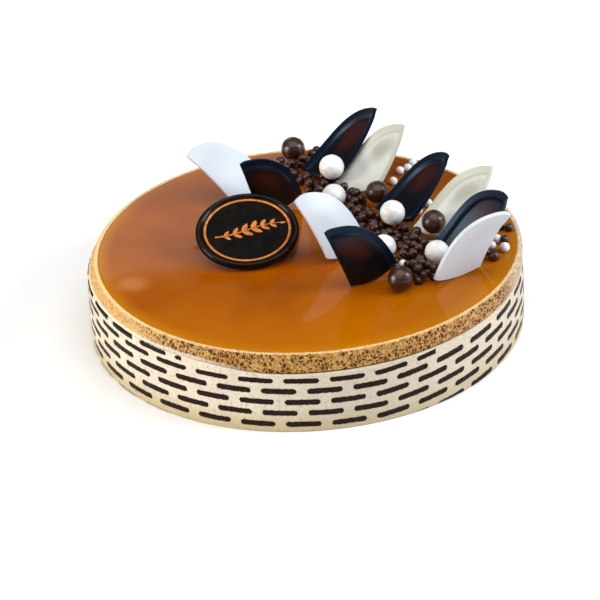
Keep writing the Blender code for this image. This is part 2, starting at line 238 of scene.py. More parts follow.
# %% Lights and the room's own light
LIGHTS = (  # name, place, aimed at, width, height, watts, colour
    ("right", (1.3, -0.2, 0.75), (0.0, 0.0, 0.03), 0.7, 0.7, 20.0, (0.86, 0.91, 1.0)),
    ("left", (-1.35, -0.45, 0.45), (0.0, 0.0, 0.03), 0.6, 0.6, 15.0, (1.0, 0.95, 0.87)),
    ("above", (0.0, -0.35, 1.5), (0.0, 0.0, 0.03), 2.0, 1.6, 22.0, (0.97, 0.98, 1.0)),
    ("veil", (-0.2, 0.9, 0.392), (-0.05, 0.0, 0.04), 0.4, 0.3, 0.52, (1.0, 0.94, 0.9)),
)
ROOM_LIGHT = 0.15

for name, place, target, width, height, watts, colour in LIGHTS:
    bpy.ops.object.light_add(type="AREA", location=place)
    light = bpy.context.active_object
    light.name = name
    light.data.shape = "RECTANGLE"
    light.data.size, light.data.size_y = width, height
    light.data.energy = watts
    light.data.color = colour
    light.rotation_euler = (Vector(target) - Vector(place)).to_track_quat("-Z", "Y").to_euler()
room = bpy.data.worlds.new("room")
room.use_nodes = True
room.node_tree.nodes["Background"].inputs["Color"].default_value = (1.0, 1.0, 1.0, 1.0)
room.node_tree.nodes["Background"].inputs["Strength"].default_value = ROOM_LIGHT
bpy.context.scene.world = room
bpy.context.scene.view_settings.view_transform = "Standard"
print(len(LIGHTS), "lights")

# %% [markdown]
# ## A few moves used again and again
#
# Every piece starts as one of Blender's primitives and ends as a mesh whose place is in its points, with
# the object itself at the origin. These helpers do what many pieces share: a clean start, a modifier set
# and applied, meshes joined into one, and the finish that names a piece and ties it to the cake.

# %% Start, modify, join and finish
def start():
    """Deselects everything. The CAD nodes come in selected, and an operator would move them."""
    bpy.ops.object.select_all(action="DESELECT")


def only(obj):
    """Makes obj the one selected and active object."""
    start()
    obj.select_set(True)
    bpy.context.view_layer.objects.active = obj


def shape_with(obj, kind, **settings):
    """Adds a modifier, sets it and applies it."""
    only(obj)
    modifier = obj.modifiers.new(kind.lower(), kind)
    for setting, value in settings.items():
        setattr(modifier, setting, value)
    bpy.ops.object.modifier_apply(modifier=modifier.name)


def joined(pieces):
    """Several meshes as one."""
    only(pieces[0])
    for piece in pieces:
        piece.select_set(True)
    bpy.ops.object.join()
    return bpy.context.active_object


ALL_ROUND = 80.0  # degrees: what is smoothed to here has no edges that show


def finish_piece(obj, name, material, nodes, smooth_to=40.0):
    """Settles a piece: its place goes into its mesh, its faces look outward, and it rides on the cake."""
    only(obj)
    bpy.ops.object.transform_apply(location=True, rotation=True, scale=True)
    bpy.ops.object.mode_set(mode="EDIT")
    bpy.ops.mesh.select_all(action="SELECT")
    bpy.ops.mesh.normals_make_consistent(inside=False)
    bpy.ops.object.mode_set(mode="OBJECT")
    bpy.ops.object.shade_smooth_by_angle(angle=math.radians(smooth_to))
    obj.name = name
    obj.data.name = name
    obj.data.materials.clear()
    obj.data.materials.append(material)
    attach(obj, "root")
    if nodes:
        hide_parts(*nodes)
    print(name, len(obj.data.polygons), "faces")


# %% [markdown]
# ## Round forms
#
# The mousse, the band, the glaze and the plaque are all round. A spin of a profile would make them, but
# raising a circle ring by ring needs no profile mesh, and it is what a hand does in edit mode: extrude the
# ring, move it, scale it, and again. A cake is never quite round, so each ring is then pushed out of round
# by a few slow waves, the same ones that the CAD model has.

# %% Raise a ring along a profile
def raised(profile, sides, hollow=False):
    """A round form from (radius, height) points. A hollow one is bridged from its last ring to its first."""
    start()
    radius, height = profile[0]
    fill = "NOTHING" if hollow else "NGON"
    bpy.ops.mesh.primitive_circle_add(
        vertices=sides, radius=radius * MM, fill_type=fill, location=(0.0, 0.0, height * MM)
    )
    bpy.ops.object.mode_set(mode="EDIT")
    bpy.ops.mesh.select_all(action="SELECT")
    for next_radius, next_height in profile[1:]:
        up = (0.0, 0.0, (next_height - height) * MM)
        grow = next_radius / radius
        bpy.ops.mesh.extrude_region_move(TRANSFORM_OT_translate={"value": up})
        bpy.ops.transform.resize(value=(grow, grow, 1.0), center_override=(0.0, 0.0, 0.0))
        radius, height = next_radius, next_height
    if hollow:
        bpy.ops.mesh.select_all(action="DESELECT")
        bpy.ops.mesh.select_non_manifold()
        bpy.ops.mesh.bridge_edge_loops()
    bpy.ops.object.mode_set(mode="OBJECT")
    bpy.ops.object.transform_apply(location=True, rotation=True, scale=True)
    return bpy.context.active_object


def corner(radius, height, rounding, turn_from, turn_to, steps):
    """Profile points round a corner whose centre is at (radius, height)."""
    turns = [math.radians(turn_from + (turn_to - turn_from) * i / steps) for i in range(steps + 1)]
    return [(radius + rounding * math.cos(turn), height + rounding * math.sin(turn)) for turn in turns]


SWELLS = ((0.5, 2, 0.83), (0.35, 3, 0.4), (0.25, 1, 3.14))  # size in mm, waves round the cake, phase


def swell_at(point):
    """How far the cake stands out of round at a point, in millimetres."""
    angle = math.atan2(point.y, point.x)
    return sum(size * math.cos(waves * angle + phase) for size, waves, phase in SWELLS)


def press(obj, push):
    """Moves every point outward from the cake's axis by push(point) millimetres."""
    for vertex in obj.data.vertices:
        flat = Vector((vertex.co.x, vertex.co.y, 0.0))
        if flat.length > MM:
            vertex.co += flat.normalized() * push(vertex.co) * MM


# %% [markdown]
# ## The mousse
#
# Above the band the mousse shows as a tan wall, full of burst air bubbles where the ring was pulled off it,
# and as a lip round the glaze with a painted highlight on its crest. Bubbles could all be painted, but the
# larger ones break the edge of the wall, so the wall gets close rings and real pits, and the fine froth is
# left to a bump in its material.

# %% Mousse form
CAKE_RADIUS = 110.0
CAKE_TOP = 42.3
BAND_HEIGHT = 32.2
BAND_THICKNESS = 5.0
GAP = 0.3
MOUSSE_WALL = 108.4
MOUSSE_SIDES = 720
FOOT_SPREAD = 0.8
WALL_BELLY = 0.3
WALL_ROWS = 14
LIP_WIDTH = 2.8
LIP_ROUNDING = 2.0
LIP_CHAMFER = (0.1, 0.3)  # in and down
GLAZE_BED = 1.5

inside_band = CAKE_RADIUS - BAND_THICKNESS - GAP
wall_foot = BAND_HEIGHT + GAP
wall_head = CAKE_TOP - LIP_ROUNDING
mousse_profile = [(inside_band, 0.1), (inside_band, wall_foot), (MOUSSE_WALL + FOOT_SPREAD, wall_foot)]
for row in range(1, WALL_ROWS):
    share = row / WALL_ROWS
    wall_radius = MOUSSE_WALL + FOOT_SPREAD * (1.0 - share) + WALL_BELLY * math.sin(math.pi * share)
    mousse_profile.append((wall_radius, wall_foot + (wall_head - wall_foot) * share))
lip_inner = MOUSSE_WALL - LIP_WIDTH
mousse_profile += corner(MOUSSE_WALL - LIP_ROUNDING, wall_head, LIP_ROUNDING, 0.0, 90.0, 8)
mousse_profile += [(lip_inner + LIP_CHAMFER[0], CAKE_TOP - LIP_CHAMFER[1]), (lip_inner, CAKE_TOP - GLAZE_BED)]
mousse = raised(mousse_profile, MOUSSE_SIDES)

# %% [markdown]
# The mousse didn't set quite straight: its head stands a little to the right of its foot, and the foot
# follows the edge of the band, which is cut wider at the left. The pits are pressed in first, then the wall
# is leaned, each point by its share of the way up.

# %% Burst bubbles, and the wall's lean
TOP_SHIFT = 1.6
BAND_RISE = 3.2
BAND_RISE_SPAN = (-15.0, -65.0)  # x in mm, from where the edge starts to rise to where it is highest
PIT_DEPTH = 0.9
PIT_REACH = 0.5
PIT_STEEPNESS = 1.5
PIT_CLOSENESS = 0.42
PIT_MARGINS = (0.1, 2.3)  # how far below the wall's foot and in over its head the pits may go
CALM_END, CALM_FADE = -75.0, 45.0  # left of the first, pits are half as deep
WALL_WANDER, WANDER_CLOSENESS = 0.18, 0.11


def eased(share):
    """A share kept within 0 and 1, with soft ends."""
    share = max(0.0, min(1.0, share))
    return share * share * (3.0 - 2.0 * share)


def band_rise(x):
    """How much higher than elsewhere the band's edge stands at an x, in millimetres."""
    rises_from, rises_to = BAND_RISE_SPAN
    return BAND_RISE * eased((x - rises_from) / (rises_to - rises_from))


def froth(point):
    """Pits where large bubbles burst, only on the wall that shows, with a slow wander of the whole wall."""
    push = swell_at(point)
    if point.z > (wall_foot - PIT_MARGINS[0]) * MM and point.xy.length > (MOUSSE_WALL - PIT_MARGINS[1]) * MM:
        spot = point / MM
        depth = PIT_DEPTH * (0.5 + 0.5 * max(0.0, min(1.0, (spot.x - CALM_END) / CALM_FADE)))
        reach = noise.voronoi(spot * PIT_CLOSENESS)[0][0]
        pit = depth * max(0.0, 1.0 - reach / PIT_REACH) ** PIT_STEEPNESS
        push += WALL_WANDER * noise.noise(spot * WANDER_CLOSENESS) - pit
    return push


press(mousse, froth)
for vertex in mousse.data.vertices:
    share = max(0.0, min(1.0, (vertex.co.z / MM - wall_foot) / (wall_head - wall_foot)))
    if vertex.co.z > (wall_foot - GAP) * MM:
        vertex.co.z += band_rise(vertex.co.x / MM) * (1.0 - share) * MM
        vertex.co.x += TOP_SHIFT * share * MM

# %% [markdown]
# Mousse is pale where it is smooth and brown inside its pores, where the brown is painted shade in the
# hollows. Two sizes of bubble texture make both the colour and the bump, so the dark spots and the hollows
# fall together. The wall isn't the same all round. At the left it is smooth and pale, with sponge smeared
# over its foot. At the right it is rosier and then creamy, and in front the gap over the band's edge is in
# shadow.

# %% Mousse pores
FILM_SIZES = (2.1, 0.95)
WOBBLE = 1.6
POROUS = (-95.0, -55.0)  # x in mm, from where the pores are faint to where they are full

foam = Finish("caramel_mousse", {"Roughness": 0.8, "Specular IOR Level": 0.2})
east, height = foam.axis("X"), foam.axis("Z")
wobble = foam.clouds(2.0, out="Color")
stretched = foam.vector("MULTIPLY", foam.at, (1.0, 1.0, 0.8))
warped = foam.vector("ADD", stretched, foam.scaled(wobble, WOBBLE))
film, fine_film = (foam.bubbles(size, warped, "DISTANCE_TO_EDGE") for size in FILM_SIZES)
bubble = foam.ease(film, 0.04, 0.22)
fine_bubble = foam.ease(fine_film, 0.05, 0.25)
burst = foam.ease(foam.clouds(2.8), 0.34, 0.54)
hollow = (bubble * burst * 0.85 + fine_bubble * 0.4) * (foam.ease(east, *POROUS) * 0.6 + 0.4)

# %% Mousse colours
ROSY = (40.0, 90.0)  # x in mm, from where a look starts to come in to where it is full
PALE = (-35.0, -80.0)
CREAMY = (94.0, 106.0)
SMEARED = (-22.0, -62.0)
SHADED, SHADE_GONE = (-40.0, -10.0), (70.0, 90.0)
LIP_HIGHLIGHT = (41.7, 42.05)  # the same for z
SMEAR_EDGE = (wall_foot + 1.4, wall_foot + 2.9)
FOOT_EDGE = (wall_foot + 0.1, wall_foot + 0.7)

tone = foam.clouds(9.0, detail=3.0)
grain = foam.clouds(0.9, detail=3.0, rough=0.6)
climb = foam.ease(east, *BAND_RISE_SPAN) * BAND_RISE
smear = 1.0 - foam.ease(height - climb + grain * 1.6, *SMEAR_EDGE)
foot = 1.0 - foam.ease(height - climb, *FOOT_EDGE)
in_front = foam.ease(east, *SHADED) * (1.0 - foam.ease(east, *SHADE_GONE))
mousse_colour = foam.coats(
    paint(216, 166, 92),
    (foam.ease(tone, 0.3, 0.7), (190, 136, 62)),
    (foam.ease(east, *ROSY) * 0.5, (206, 152, 112)),
    ((1.0 - foam.ease(grain, 0.3, 0.56)) * 0.6, (142, 92, 38)),
    (foam.ease(grain, 0.5, 0.7) * 0.65, (246, 206, 134)),
    (foam.ease(east, *PALE) * 0.55, (226, 188, 126)),
    # painted shade inside the pores
    (foam.ease(hollow, 0.1, 0.9), (92, 50, 14)),
    # a painted highlight along the crest of the lip
    (foam.ease(height, *LIP_HIGHLIGHT) * 0.8, (250, 212, 148)),
    (smear * foam.ease(east, *SMEARED) * 0.85, (250, 236, 212)),
    (foam.ease(east, *CREAMY) * 0.6, (226, 204, 174)),
    (foot * in_front * 0.85, (60, 42, 16)),
)
mousse_finish = foam.lay(colour=mousse_colour, normal=foam.relief(1.0 - hollow, 0.6))
finish_piece(mousse, "mousse_wall", mousse_finish, ["mousse"])

# %% [markdown]
# ## The sponge band
#
# A thin sheet of sponge is baked on a printed mat, cut into a strip and set round the inside of the ring.
# Its print is rows of short dashes of dark chocolate, each row half a dash on from the one below, and the
# strip was laid a little askew. A texture on the cake's own axes can't follow it, so the wall gets a UV map
# in which one unit across is one dash and its gap, and one unit down is one row. A formula gives each
# corner of each face its place in the print. At the left, where the strip is cut wider, one more row shows
# above the first, and at the right the first row runs off the edge.

# %% Band form
BAND_ROWS = 26
BAND_SIDES = 480
BAND_BELLY = 0.5
ROUNDING = 0.7
STRIP_WAVES = ((0.16, 0.16), (0.05, 0.6))  # size in mm, and how close the waves are
STRIP_INSET = 0.14
OUTER_FROM, OUTER_OVER = 106.0, 3.0  # the radius at which they come in

band_inside = CAKE_RADIUS - BAND_THICKNESS
band_profile = [(band_inside, 0.0)] + corner(CAKE_RADIUS - ROUNDING, ROUNDING, ROUNDING, -90.0, 0.0, 4)
for row in range(1, BAND_ROWS):
    share = row / BAND_ROWS
    level = ROUNDING + (BAND_HEIGHT - 2.0 * ROUNDING) * share
    band_profile.append((CAKE_RADIUS + BAND_BELLY * math.sin(math.pi * share), level))
band_profile += corner(CAKE_RADIUS - ROUNDING, BAND_HEIGHT - ROUNDING, ROUNDING, 0.0, 90.0, 4)
band_profile += [(band_inside, BAND_HEIGHT)]
band = raised(band_profile, BAND_SIDES, hollow=True)


def sponge_wander(point):
    """The cake's own waves, and on the outer face the slight ups and downs of a soft strip."""
    outer = max(0.0, min(1.0, (point.xy.length / MM - OUTER_FROM) / OUTER_OVER))
    wander = sum(size * noise.noise(point / MM * closeness) for size, closeness in STRIP_WAVES) - STRIP_INSET
    return swell_at(point) + outer * wander


press(band, sponge_wander)
for vertex in band.data.vertices:
    vertex.co.z *= 1.0 + band_rise(vertex.co.x / MM) / BAND_HEIGHT
print("band box", [round(side / MM, 1) for side in band.dimensions])

# %% The print's own map
DASHES_ROUND = 31
FIRST_DASH = -5.0
ROW_DROP = 5.72
ROW_SPREAD = 0.09
FIRST_DROP = 4.3
TOP_ROW = 30.3
PRINT_LOW, PRINT_SLOPE = -1.5, -0.012
PRINT_CLIMB, CLIMB_FROM, CLIMB_TO = 0.083, 34.0, 140.0  # at the right, in mm round the wall
PULL, PULL_FROM, PULL_OVER = 0.05, -60.0, 90.0  # the strip is drawn out at the left

period = 2.0 * math.pi * CAKE_RADIUS / DASHES_ROUND


def print_shift(distance):
    """How far the strip rises, in millimetres, at a distance round the wall from the front."""
    return PRINT_LOW + PRINT_SLOPE * distance + PRINT_CLIMB * max(0.0, min(distance, CLIMB_TO) - CLIMB_FROM)


def print_row(height, distance):
    """Which row of dashes is at a height: 0 is the first, and the rows spread a little towards the foot."""
    drop = max(0.0, TOP_ROW + print_shift(distance) - height)
    above = min(0.0, TOP_ROW + print_shift(distance) - height) / FIRST_DROP
    return above + (math.sqrt(ROW_DROP**2 + 4.0 * ROW_SPREAD * drop) - ROW_DROP) / (2.0 * ROW_SPREAD)


print_map = band.data.uv_layers.new(name="print")
for face in band.data.polygons:
    middle = math.atan2(face.center.x, -face.center.y)
    for index in face.loop_indices:
        spot = band.data.vertices[band.data.loops[index].vertex_index].co
        turn = math.atan2(spot.x, -spot.y)
        turn += 2.0 * math.pi * round((middle - turn) / (2.0 * math.pi))
        distance = turn * CAKE_RADIUS
        pulled = PULL * max(0.0, min(PULL_FROM - distance, PULL_OVER))
        across = (distance + pulled - FIRST_DASH) / period
        print_map.data[index].uv = (across, print_row(spot.z / MM, distance))
print("one dash and its gap:", round(period, 2), "mm")

# %% [markdown]
# A dash is a line of a certain length with round ends. In the shader, the distance from a point to that
# line is worked out in millimetres, and all that lies nearer than half the dash's width is chocolate. A
# little noise on that distance gives it the soft edge of batter that has run before it was baked.

# %% The dashes
DASH_LENGTH = 17.4
DASH_WIDTH = 3.2
RAGGED = 0.9
SOFT_EDGE = (-0.3, 0.15)  # in mm, from half the dash's width
EXTRA_ROW = (-54.0, -70.0)  # x in mm, where the row above the first comes in
LOST_ROW = (57.0, 64.0)  # and where the first runs out

sponge = Finish("printed_sponge", {"Specular IOR Level": 0.1})
east = sponge.axis("X")
uv = sponge.mapped("print")
across, down = sponge.axis("X", uv), sponge.axis("Y", uv)
row = down.math("ROUND", down)
odd = row.math("MODULO", row, 2.0)
column = across + odd * 0.5
along_dash = (column - column.math("ROUND", column)) * period
off_dash = (down - row) * (row * (2.0 * ROW_SPREAD) + ROW_DROP)
past_middle = along_dash.math("ABSOLUTE", along_dash)
beyond_end = past_middle.math("MAXIMUM", past_middle - 0.5 * (DASH_LENGTH - DASH_WIDTH), 0.0)
reach = (beyond_end * beyond_end + off_dash * off_dash) ** 0.5
ragged = (sponge.clouds(1.6, detail=4.0) - 0.5) * RAGGED
dash = 1.0 - sponge.ease(reach + ragged, *(0.5 * DASH_WIDTH + edge for edge in SOFT_EDGE))
printed_rows = row + sponge.ease(east, *EXTRA_ROW) - sponge.ease(east, *LOST_ROW)
dash = dash * row.math("GREATER_THAN", printed_rows, -0.5)

# %% Band finish
FOOT_SHADE = (0.0, 16.0)  # z in mm
RIGHT_SHADE = (-60.0, 40.0)  # x in mm

crumb = sponge.clouds(1.1, detail=4.0, rough=0.65)
patch = sponge.clouds(14.0)
speck = sponge.ease(sponge.clouds(2.4, detail=3.0, rough=0.6), 0.58, 0.72)
holes = 1.0 - sponge.ease(sponge.bubbles(1.3), 0.08, 0.3)
cream = sponge.coats(
    paint(214, 200, 176),
    (sponge.ease(crumb, 0.3, 0.7), (236, 226, 206)),
    (sponge.ease(patch, 0.35, 0.75) * 0.45, (208, 184, 172)),
    # painted shade: the sponge darker and warmer towards its foot
    ((1.0 - sponge.ease(sponge.axis("Z"), *FOOT_SHADE)) * 0.75, (190, 170, 116)),
    # painted shade: the sponge greyer towards the right
    (sponge.ease(east, *RIGHT_SHADE) * 0.5, (184, 170, 146)),
    (speck * 0.6, (162, 158, 134)),
    # painted shade in the crumb's holes
    (holes * 0.35, (170, 150, 120)),
)
cocoa = sponge.coats(paint(20, 10, 4), (sponge.ease(crumb, 0.35, 0.75), (46, 27, 15)))
sponge_finish = sponge.lay(
    colour=sponge.blend(dash, cream, cocoa),
    roughness=0.85 - dash * 0.35,
    normal=sponge.relief(crumb * 0.6 - holes * 0.5 + dash * 0.35, 0.35),
)
finish_piece(band, "sponge_strip", sponge_finish, ["sponge_band"])

# %% [markdown]
# ## The glaze
#
# A mirror glaze is poured over the frozen mousse and runs level, so its top is flat and glassy and turns
# down in a small round at its edge. It is caramel cooked with cream and set with gelatine, so it is yellower
# at its thin edge than over its middle, and looks deeper towards the back. Near its left edge a pale,
# clouded spot is a painted reflection.

# %% Glaze form
GLAZE_RADIUS = lip_inner - 0.05
GLAZE_SIDES = 240
GLAZE_DEPTH = 1.2
GLAZE_ROUNDING = 0.6
EDGE_STRIP = 2.0
RING_COUNT = 11
RING_STEP = 9.5

glaze_profile = [(GLAZE_RADIUS, CAKE_TOP - GLAZE_DEPTH)]
bend = (GLAZE_RADIUS - GLAZE_ROUNDING, CAKE_TOP - GLAZE_ROUNDING)
glaze_profile += corner(*bend, GLAZE_ROUNDING, 0.0, 90.0, 5)
glaze_profile += [(GLAZE_RADIUS - EDGE_STRIP - RING_STEP * ring, CAKE_TOP) for ring in range(RING_COUNT)]
glaze = raised(glaze_profile, GLAZE_SIDES)
press(glaze, swell_at)
glaze.data.transform(Matrix.Translation((TOP_SHIFT * MM, 0.0, 0.0)))

# %% Glaze finish
THIN_EDGE = (96.0, 106.0)  # mm from the cake's axis
FRONT, BACK = (-55.0, -100.0), (20.0, 90.0)  # y in mm
RIGHT = (15.0, 80.0)  # x in mm
BACK_RIGHT = (95.0, 140.0)  # x and y added
# a painted reflection: the pale spot near the glaze's left edge
REFLECTION_SPOT_PLACE = (-86.0, -30.0, CAKE_TOP)
REFLECTION_SPOT_EDGE = (6.0, 15.0)

caramel = Finish("mirror_glaze", {"Specular IOR Level": 0.15, "Specular Tint": (1.0, 0.86, 0.62, 1.0)})
east, north = caramel.axis("X"), caramel.axis("Y")
from_axis = caramel.distance(caramel.vector("MULTIPLY", caramel.at, (1.0, 1.0, 0.0)), (0.0, 0.0, 0.0))
drift = caramel.clouds(60.0, detail=3.0)
cloud = caramel.clouds(14.0, detail=4.0)
# the painted reflection, with a cloudy edge
painted_reflection = 1.0 - caramel.ease(caramel.distance(caramel.at, REFLECTION_SPOT_PLACE) + cloud * 8.0, *REFLECTION_SPOT_EDGE)
toffee = caramel.coats(
    paint(146, 68, 0),
    (caramel.ease(drift, 0.3, 0.7), (164, 86, 0)),
    (caramel.ease(cloud, 0.4, 0.8) * 0.3, (170, 92, 0)),
    (caramel.ease(from_axis, *THIN_EDGE) * 0.5, (200, 132, 8)),
    (caramel.ease(north, *FRONT) * 0.6, (180, 104, 0)),
    (caramel.ease(north, *BACK) * 0.7, (134, 58, 4)),
    (caramel.ease(east, *RIGHT) * 0.5, (150, 84, 0)),
    (caramel.ease(east + north, *BACK_RIGHT) * 0.6, (104, 44, 0)),
    (painted_reflection * 0.3, (208, 150, 96)),
)
glaze_finish = caramel.lay(colour=toffee, roughness=0.03 + cloud * 0.05)
finish_piece(glaze, "glaze_mirror", glaze_finish, ["glaze"])

# %% [markdown]
# ## Petals
#
# The petals are tempered chocolate, cast in one mould: a sail with a long bowed edge, hollowed like a shell,
# with a flat raised rim. A mould's shape is a formula more than a sculpture, so a fine grid is drawn into it:
# one way over the grid runs down the long edge, the other way runs in from that edge to the heel. The wall
# gets its thickness from Solidify and its soft edges from Bevel.

# %% The mould
PETAL_BASE = 27.0
PETAL_REACH = 22.2
PETAL_LENGTH = 36.4
PETAL_THICKNESS = 1.8
LONG_BULGE, BASE_BULGE, INNER_BULGE = 9.9, 3.0, 0.25
HOOK = 0.37
TIP_SHARE = 0.05  # of the long edge, for each millimetre by which the tip is rounded
HEEL_ROUNDING = 1.6
DISH_RADIUS = 90.0
DISH_MIDDLE = (0.35, 0.42)


def arc_point(first, last, bulge, along, hook=0.0):
    """A point of a shallow arc that stands off its chord by bulge, more of it near the start with a hook."""
    chord = last - first
    outward = Vector((chord.y, -chord.x)).normalized()
    skew = 1.0 + hook * (1.0 - 2.0 * along)
    return first + chord * along + outward * 4.0 * bulge * along * (1.0 - along) * skew


def petal_point(along, across, width, length, tip_rounding):
    """A point of the petal's middle surface in millimetres, in the mould's own frame."""
    tip = Vector((PETAL_REACH * width, PETAL_LENGTH * length))
    back = Vector((-0.5 * PETAL_BASE * width, 0.0))
    heel = Vector((0.5 * PETAL_BASE * width, 0.0))
    edge = arc_point(tip, back, LONG_BULGE, along, HOOK)
    past_tip = max(0.0, 1.0 - along / (TIP_SHARE * tip_rounding))
    edge += (heel - tip).normalized() * tip_rounding * past_tip**2
    toward_tip = heel + (tip - heel).normalized() * HEEL_ROUNDING
    toward_back = heel + (back - heel).normalized() * HEEL_ROUNDING
    flat = edge.lerp(arc_point(toward_back, toward_tip, 0.5 * HEEL_ROUNDING, 1.0 - along), across)
    belly = 4.0 * across * (1.0 - across)
    flat += Vector((INNER_BULGE * (1.0 - along) ** 3, -BASE_BULGE * along**3)) * belly
    middle = Vector((DISH_MIDDLE[0] * PETAL_REACH * width, DISH_MIDDLE[1] * PETAL_LENGTH * length))
    return Vector((flat.x, flat.y, (flat - middle).length_squared / (2.0 * DISH_RADIUS)))


print("tip of the mould:", tuple(round(c, 1) for c in petal_point(0.0, 0.0, 1.0, 1.0, 1.0)))

# %% Where each petal stands
PETALS = (  # chocolate, x, y, height over the glaze, turn, lean, rock, width, length, rounding of the tip
    ("white", -24.0, 54.5, 4.5, -143, -32, -11, 1.00, 1.00, 2.2),
    ("dark", -9.5, 36.5, 3.2, -151, 13, -5, 1.00, 1.00, 1.2),
    ("white", 23.0, -15.5, 4.2, -143, -20, 0, 1.00, 0.97, 2.4),
    ("dark", 35.0, -43.0, 3.5, -153, 6, -8, 1.02, 1.00, 1.2),
    ("dark", 13.0, 69.0, 2.8, -62, 41, 12, 1.00, 1.14, 0.3),
    ("white", 31.0, 53.0, 2.8, -52, 38, 14, 1.00, 0.97, 0.6),
    ("dark", 49.0, 18.5, 3.0, -62, 40, 12, 1.00, 1.06, 1.6),
    ("white", 69.5, -0.5, 2.4, -46, 42, 11, 1.02, 1.02, 0.6),
    ("dark", 78.5, -19.0, 2.9, -46, 23, -2, 1.00, 1.00, 1.8),
    ("white", 73.5, -41.0, 4.1, 24, -16, -6, 1.00, 1.00, 2.0),
)


def petal_stand(petal):
    """The matrix that stands a petal on the cake, from the mould's frame."""
    _, x, y, height, turn, lean, rock, *_ = petal
    return (
        Matrix.Translation(Vector((x, y, CAKE_TOP + height)) * MM)
        @ Matrix.Rotation(math.radians(turn), 4, "Z")
        @ Matrix.Rotation(math.radians(90.0 - lean), 4, "X")
        @ Matrix.Rotation(math.radians(rock), 4, "Z")
    )


# %% [markdown]
# Dark chocolate is nearly black, and what is seen on it is mostly the room: on the flat rim a painted
# reflection stands for the cool light of the studio, and in the hollow a painted red-brown sheen. White
# chocolate is cocoa butter and milk, and comes in two copies with painted light: a cool, lit one where it
# leans towards the camera and shows its smooth back, and a greyer ivory, shaded one where it leans back and
# shows its hollow. The materials read two maps of the petal. One says how far along and how far in from the
# long edge a point lies, and the other how much of it is rim.

# %% Chocolate finishes
PATCH_SQUEEZE = (1.0, 1.5, 0.0)
PATCH_MIDDLE = (0.27, 0.48, 0.0)
PATCH_EDGE = (0.04, 0.38)
SKIN_DEPTH = 0.03
DARK = {"Specular IOR Level": 0.24, "Specular Tint": (0.5, 0.72, 1.0, 1.0)}
WHITE = {"Specular IOR Level": 0.35, "Coat Weight": 0.1, "Coat Roughness": 0.3}


def chocolate(name, constants, body, rim, painted_light_patch, roughness):
    """A moulded chocolate: its colour, and the painted light laid on its rim and on a patch in its hollow."""
    finish = Finish(name, constants)
    rim_share = finish.axis("X", finish.mapped("rim"))
    drawn = finish.vector("MULTIPLY", finish.mapped("mould"), PATCH_SQUEEZE)
    swirl = finish.clouds(11.0, detail=3.0)
    skin = finish.clouds(1.2, detail=3.0)
    patch = 1.0 - finish.ease(finish.distance(drawn, PATCH_MIDDLE) + (swirl - 0.5) * 0.3, *PATCH_EDGE)
    return finish.lay(
        colour=finish.coats(paint(*body), (patch, painted_light_patch), (rim_share, rim)),
        roughness=roughness + skin * 0.12,
        normal=finish.relief(skin, SKIN_DEPTH),
    )


# dark: the blue rim is a painted reflection of the cool light, the red-brown patch a painted sheen
dark_petal = chocolate("dark_petal", DARK, (10, 10, 13), (3, 17, 34), (52, 19, 14), 0.26)
# white, lit copy: a cool white for the petals that lean forward into the light
lit_white_chocolate = chocolate("lit_white_chocolate", WHITE, (203, 209, 214), (220, 224, 226), (198, 203, 206), 0.32)
# white, shaded copy: greyer, with painted shade on its rim and under it in the hollow
shaded_white_chocolate = chocolate("shaded_white_chocolate", WHITE, (216, 217, 210), (196, 197, 182), (172, 174, 160), 0.34)

# %% Cast the petals
STEPS_ALONG = 44
STEPS_IN = 30
SPREAD_TO_ENDS = 0.1  # draws the grid's lines apart at the middle and together at both ends
CROWD_TO_EDGE = 1.5  # and together at the long edge
RIM_RISE = 1.0
RIM_START, RIM_END = 3.2, 4.4
SOFT_RIM_END = 12.0  # of the petals that lean forward and show their smooth backs
LOW_RIM_RISE = 0.6
LOW_RIM_START, LOW_RIM_END = 0.9, 1.8
EDGE_SAMPLES = 50
EDGE_SOFTNESS = 0.45
SHARP = 50.0  # degrees


